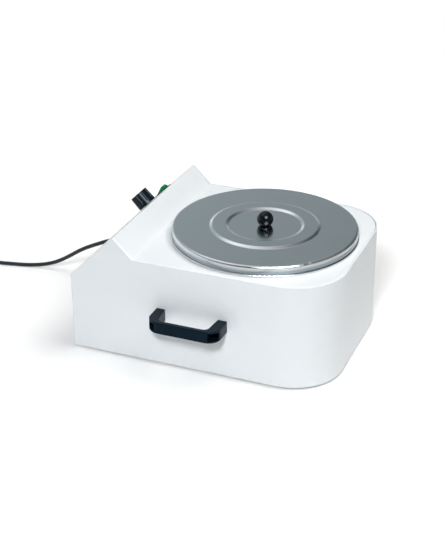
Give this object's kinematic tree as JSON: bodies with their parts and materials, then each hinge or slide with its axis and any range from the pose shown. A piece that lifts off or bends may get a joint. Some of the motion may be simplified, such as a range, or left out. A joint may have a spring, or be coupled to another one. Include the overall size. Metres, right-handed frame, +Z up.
{
  "type": "wax warmer",
  "caption": "Tabletop wax warmer: white sheet housing with a sloped control panel, round lidded pot, ball knob, bridge handles, dial, rocker switch and mains cord.",
  "frame": {"origin": "centre of the object's footprint on the table, without its cord", "axes": "+X from the control end to the rounded end, +Y from the near side to the far side, +Z up"},
  "size_m": [0.924, 0.391, 0.2065],
  "materials": {
    "powder_white": "satin",
    "steel_satin": "satin",
    "steel_plain": "satin",
    "zinc_steel": "satin",
    "aluminium_plain": "satin",
    "black_gloss": "gloss",
    "black_satin": "satin",
    "green_plastic": "gloss",
    "cord_black": "satin",
    "rubber_black": "matte",
    "silicone": "matte",
    "mineral_wool": "matte",
    "nickel_steel": "polished",
    "cream_plastic": "satin",
    "copper_capillary": "satin"
  },
  "bodies": {
    "body": {"side_wrap": "powder_white", "top_cover": "powder_white", "control_panel": "powder_white", "cover_studs": "zinc_steel", "cover_nuts": "zinc_steel", "base_plate": "powder_white", "base_screws": "zinc_steel", "rubber_feet": "rubber_black", "foot_screws": "zinc_steel", "foot_nuts": "zinc_steel", "wax_pot": "steel_plain", "pot_gasket": "silicone", "pot_clips": "steel_plain", "heater_plate": "aluminium_plain", "heating_element": "steel_plain", "clamp_plate": "zinc_steel", "heater_studs": "zinc_steel", "heater_nuts": "zinc_steel", "overheat_cutout": "cream_plastic", "insulation_pad": "mineral_wool", "insulation_jacket": "mineral_wool", "heat_shield": "zinc_steel", "thermostat_body": "zinc_steel", "thermostat_nut": "nickel_steel", "sensor_bulb": "copper_capillary", "rocker_housing": "black_gloss", "handle_near": "black_satin", "handle_far": "black_satin", "handle_screws": "zinc_steel", "handle_nuts": "zinc_steel", "terminal_block": "cream_plastic", "earth_stud": "zinc_steel", "wire_terminals": "silicone", "inner_wires": "cream_plastic", "cord_tail": "cord_black", "cord_gland": "rubber_black", "gland_nut": "black_satin", "mains_cord": "cord_black", "cord_coil": "cord_black", "coil_tie": "rubber_black", "plug_lead": "cord_black", "mains_plug": "rubber_black", "plug_pins": "nickel_steel"},
    "lid": {"lid": "steel_satin", "lid_ball": "black_gloss", "lid_screw": "steel_plain", "lid_washer": "steel_plain"},
    "knob": {"control_knob": "black_satin", "thermostat_shaft": "nickel_steel"},
    "rocker": {"rocker_paddle": "green_plastic"}
  },
  "joints": [
    {"name": "lid_lift", "type": "slide", "parent": "body", "child": "lid", "axis": [0, 0, 1], "range_m": [0, 0.12]},
    {"name": "thermostat_turn", "type": "hinge", "parent": "body", "child": "knob", "pos_m": [-0.1675, 0.048, 0.1615], "axis": [-0.7071, 0, 0.7071], "range_deg": [-270, 0]},
    {"name": "rocker_tilt", "type": "hinge", "parent": "body", "child": "rocker", "pos_m": [-0.16453, 0.107, 0.15853], "axis": [0, 1, 0], "range_deg": [0, 39]}
  ]
}
